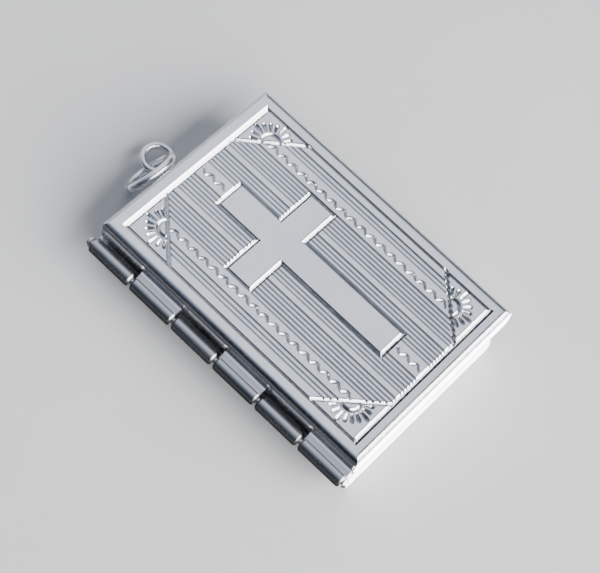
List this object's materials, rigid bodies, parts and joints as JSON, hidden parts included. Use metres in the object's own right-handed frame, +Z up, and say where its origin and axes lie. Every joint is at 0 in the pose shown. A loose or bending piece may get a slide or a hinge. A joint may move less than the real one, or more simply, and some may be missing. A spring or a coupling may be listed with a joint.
{
  "type": "book-shaped locket pendant",
  "caption": "Hinged metal locket shaped like a closed book, with a cross and fine grooves in relief, a soldered loop and a jump ring for a chain.",
  "frame": {"origin": "on the flat underside of the back case, below the middle of the front cover, with the locket closed and lying on its back", "axes": "+X from the spine to the fore-edge, +Y from the foot to the end with the loop, +Z up out of the front cover"},
  "size_m": [0.0262, 0.0408, 0.0064],
  "materials": {
    "cover_silver": "polished silver with fine wear scratches",
    "case_silver": "polished silver, slightly duller in the recesses",
    "pin_silver": "worn silver wire",
    "ring_silver": "polished round silver wire"
  },
  "bodies": {
    "case": {"back_case": "case_silver", "hinge_pin": "pin_silver", "jump_ring": "ring_silver"},
    "cover": {"front_cover": "cover_silver"}
  },
  "joints": [
    {"name": "cover_hinge", "type": "hinge", "parent": "case", "child": "cover", "pos_m": [-0.0132, 0, 0.0034], "axis": [0, -1, 0], "range_deg": [0, 180]}
  ]
}
